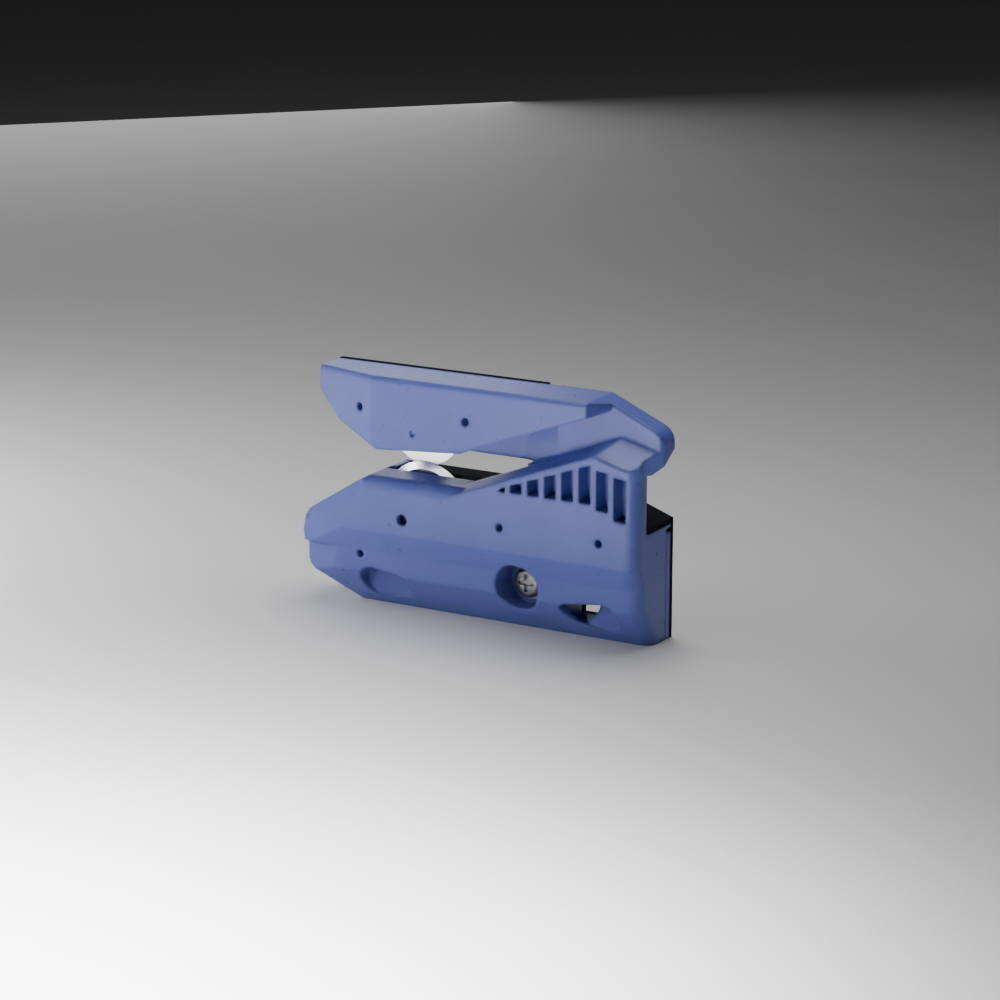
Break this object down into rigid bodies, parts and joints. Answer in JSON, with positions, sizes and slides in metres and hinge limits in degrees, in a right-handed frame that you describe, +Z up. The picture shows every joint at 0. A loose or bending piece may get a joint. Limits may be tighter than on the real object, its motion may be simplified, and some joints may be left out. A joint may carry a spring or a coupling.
{
  "type": "rotary shear cutter head",
  "caption": "Sliding cutter head for sheet or film: moulded body with an open mouth, overlapping round blades and strip guides.",
  "frame": {"origin": "centre of the bounding box's footprint, at its base", "axes": "+X to the right against the direction of cutting, +Y from the front face to the rear covers, +Z up"},
  "size_m": [0.1032, 0.0206, 0.0631],
  "materials": {
    "blue_polymer": "satin",
    "black_polymer": "satin",
    "hub_polymer": "satin",
    "blade_steel": "ground",
    "bearing_steel": "polished",
    "steel": "satin",
    "dark_steel": "satin",
    "brass": "satin"
  },
  "bodies": {
    "housing": {"main_body": "blue_polymer", "lower_rear_cover": "black_polymer", "upper_rear_cover": "black_polymer", "upper_axle": "steel", "upper_spacer": "steel", "upper_inner_ring": "bearing_steel", "upper_clip": "dark_steel", "lower_axle": "dark_steel", "pressure_spring": "dark_steel", "lower_clip": "dark_steel", "centre_screw": "dark_steel", "lock_washer": "dark_steel", "flat_washer": "dark_steel", "centre_insert": "brass", "left_insert": "brass", "right_insert": "brass", "lower_screw_1": "steel", "lower_screw_2": "steel", "lower_screw_3": "steel", "upper_screw_1": "steel", "upper_screw_2": "steel"},
    "upper_rotor": {"upper_outer_ring": "bearing_steel", "upper_hub": "hub_polymer", "upper_blade": "blade_steel", "upper_clamp_ring": "steel"},
    "upper_cage_set": {"upper_cage": "brass", "upper_balls": "bearing_steel"},
    "lower_carrier": {"thrust_washer": "steel", "lower_inner_ring": "bearing_steel"},
    "lower_rotor": {"lower_outer_ring": "bearing_steel", "lower_hub": "hub_polymer", "lower_blade": "blade_steel", "lower_clamp_ring": "steel"},
    "lower_cage_set": {"lower_cage": "brass", "lower_balls": "bearing_steel"}
  },
  "joints": [
    {"name": "upper_blade_spin", "type": "hinge", "parent": "housing", "child": "upper_rotor", "pos_m": [-0.01868, 0.002, 0.0486], "axis": [0, 1, 0], "continuous": true},
    {"name": "upper_cage_turn", "type": "hinge", "parent": "housing", "child": "upper_cage_set", "pos_m": [-0.01868, 0.002, 0.0486], "axis": [0, 1, 0], "continuous": true},
    {"name": "lower_blade_float", "type": "slide", "parent": "housing", "child": "lower_carrier", "axis": [0, -1, 0], "range_m": [0, 0.0005], "stiffness_N_per_m": 600, "springref_m": -0.004, "deforming": ["pressure_spring"]},
    {"name": "lower_blade_spin", "type": "hinge", "parent": "lower_carrier", "child": "lower_rotor", "pos_m": [-0.01868, 0.00145, 0.0261], "axis": [0, 1, 0], "continuous": true},
    {"name": "lower_cage_turn", "type": "hinge", "parent": "lower_carrier", "child": "lower_cage_set", "pos_m": [-0.01868, 0.00145, 0.0261], "axis": [0, 1, 0], "continuous": true}
  ],
  "couplings": [
    {"joint": "upper_cage_turn", "follows": "upper_blade_spin", "ratio": 0.58462},
    {"joint": "lower_cage_turn", "follows": "lower_blade_spin", "ratio": 0.58182}
  ]
}
